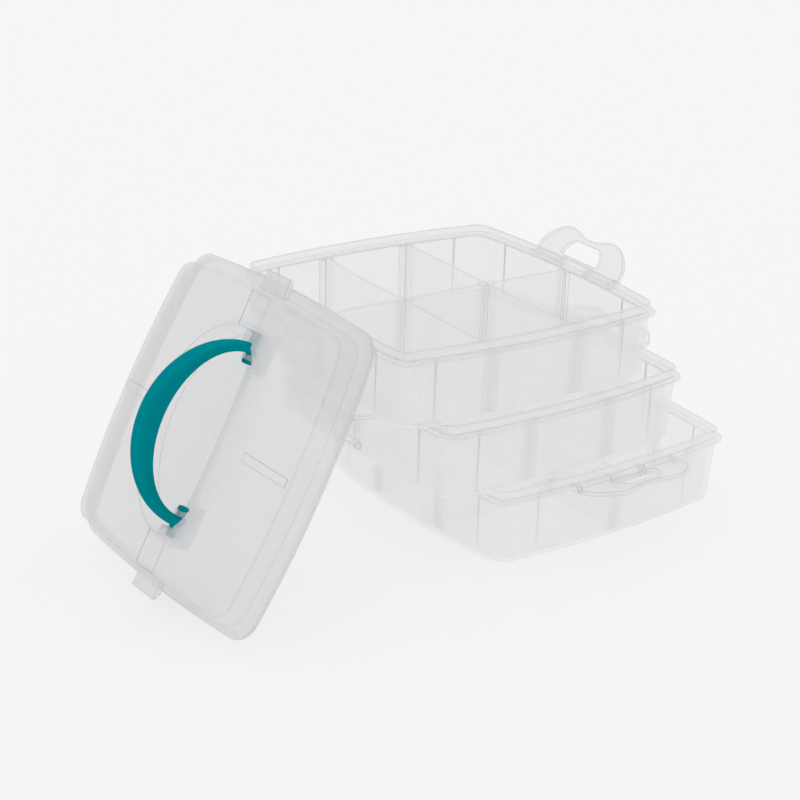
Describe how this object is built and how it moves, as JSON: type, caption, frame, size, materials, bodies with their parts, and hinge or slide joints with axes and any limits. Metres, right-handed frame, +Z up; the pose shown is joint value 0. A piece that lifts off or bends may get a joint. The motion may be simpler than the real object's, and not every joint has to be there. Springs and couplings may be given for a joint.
{
  "type": "stacking compartment storage box",
  "caption": "Clear stacking storage box taken apart: offset square trays with divider walls and swing latches, beside a leaning lid with a folding carry handle.",
  "frame": {"origin": "centre of the bottom tray's underside, on the surface the box stands on", "axes": "+Z up; +X along the front edge of the trays, away from the leaning lid; +Y towards the back of the stack"},
  "size_m": [0.2998, 0.1938, 0.1381],
  "materials": {
    "tray_plastic": "translucent natural polypropylene, satin",
    "lid_plastic": "translucent natural polypropylene, satin",
    "divider_plastic": "thin translucent polypropylene sheet",
    "latch_plastic": "translucent natural polypropylene, satin",
    "handle_plastic": "opaque teal moulded plastic, satin"
  },
  "bodies": {
    "bottom_tray": {"bottom_tray": "tray_plastic", "bottom_long_divider": "divider_plastic", "bottom_short_divider_1": "divider_plastic", "bottom_short_divider_2": "divider_plastic", "bottom_short_divider_3": "divider_plastic", "bottom_short_divider_4": "divider_plastic"},
    "middle_tray": {"middle_tray": "tray_plastic", "middle_long_divider": "divider_plastic", "middle_short_divider_1": "divider_plastic", "middle_short_divider_2": "divider_plastic", "middle_short_divider_3": "divider_plastic", "middle_short_divider_4": "divider_plastic"},
    "top_tray": {"top_tray": "tray_plastic"},
    "lid": {"lid": "lid_plastic"},
    "carry_handle": {"carry_handle": "handle_plastic"},
    "latch_bottom_back": {"latch_bottom_back": "latch_plastic"},
    "latch_bottom_front": {"latch_bottom_front": "latch_plastic"},
    "latch_middle_left": {"latch_middle_left": "latch_plastic"},
    "latch_middle_right": {"latch_middle_right": "latch_plastic"},
    "latch_top_left": {"latch_top_left": "latch_plastic"},
    "latch_top_right": {"latch_top_right": "latch_plastic"},
    "top_long_divider": {"top_long_divider": "divider_plastic"},
    "top_short_divider_1": {"top_short_divider_1": "divider_plastic"},
    "top_short_divider_2": {"top_short_divider_2": "divider_plastic"},
    "top_short_divider_3": {"top_short_divider_3": "divider_plastic"},
    "top_short_divider_4": {"top_short_divider_4": "divider_plastic"}
  },
  "joints": [
    {"name": "latch_bottom_front_hinge", "type": "hinge", "parent": "bottom_tray", "child": "latch_bottom_front", "pos_m": [0, -0.0785, 0.033], "axis": [-1, 0, 0], "range_deg": [-88, 82]},
    {"name": "latch_bottom_back_hinge", "type": "hinge", "parent": "bottom_tray", "child": "latch_bottom_back", "pos_m": [0, 0.0785, 0.033], "axis": [1, 0, 0], "range_deg": [-68, 50]},
    {"name": "latch_middle_right_hinge", "type": "hinge", "parent": "middle_tray", "child": "latch_middle_right", "pos_m": [0.04961, 0.00396, 0.071], "axis": [-0.0045, -1, 0], "range_deg": [-88, 82]},
    {"name": "latch_middle_left_hinge", "type": "hinge", "parent": "middle_tray", "child": "latch_middle_left", "pos_m": [-0.10739, 0.00468, 0.071], "axis": [0.0045, 1, 0], "range_deg": [-76, 14]},
    {"name": "latch_top_right_hinge", "type": "hinge", "parent": "top_tray", "child": "latch_top_right", "pos_m": [0.03069, 0.00174, 0.109], "axis": [-0.0597, -0.9982, 0], "range_deg": [-133, 37]},
    {"name": "latch_top_left_hinge", "type": "hinge", "parent": "top_tray", "child": "latch_top_left", "pos_m": [-0.12603, 0.0111, 0.109], "axis": [0.0597, 0.9982, 0], "range_deg": [-88, 82]},
    {"name": "middle_tray_lift", "type": "slide", "parent": "bottom_tray", "child": "middle_tray", "axis": [0.5, 0, 0.866], "range_m": [0, 0.04]},
    {"name": "top_tray_lift", "type": "slide", "parent": "middle_tray", "child": "top_tray", "axis": [0.5, 0, 0.866], "range_m": [0, 0.04]},
    {"name": "top_long_divider_lift", "type": "slide", "parent": "top_tray", "child": "top_long_divider", "axis": [0, 0, 1], "range_m": [0, 0.036]},
    {"name": "top_short_divider_1_lift", "type": "slide", "parent": "top_tray", "child": "top_short_divider_1", "axis": [0, 0, 1], "range_m": [0, 0.036]},
    {"name": "top_short_divider_2_lift", "type": "slide", "parent": "top_tray", "child": "top_short_divider_2", "axis": [0, 0, 1], "range_m": [0, 0.036]},
    {"name": "top_short_divider_3_lift", "type": "slide", "parent": "top_tray", "child": "top_short_divider_3", "axis": [0, 0, 1], "range_m": [0, 0.036]},
    {"name": "top_short_divider_4_lift", "type": "slide", "parent": "top_tray", "child": "top_short_divider_4", "axis": [0, 0, 1], "range_m": [0, 0.036]},
    {"name": "lid_tip", "type": "hinge", "parent": "bottom_tray", "child": "lid", "pos_m": [-0.21968, -0.00179, 0], "axis": [0, -1, 0], "range_deg": [0, 50]},
    {"name": "handle_fold", "type": "hinge", "parent": "lid", "child": "carry_handle", "pos_m": [-0.18248, -0.00161, 0.06774], "axis": [0.4675, 0.0021, 0.884], "range_deg": [-63, 30]}
  ]
}
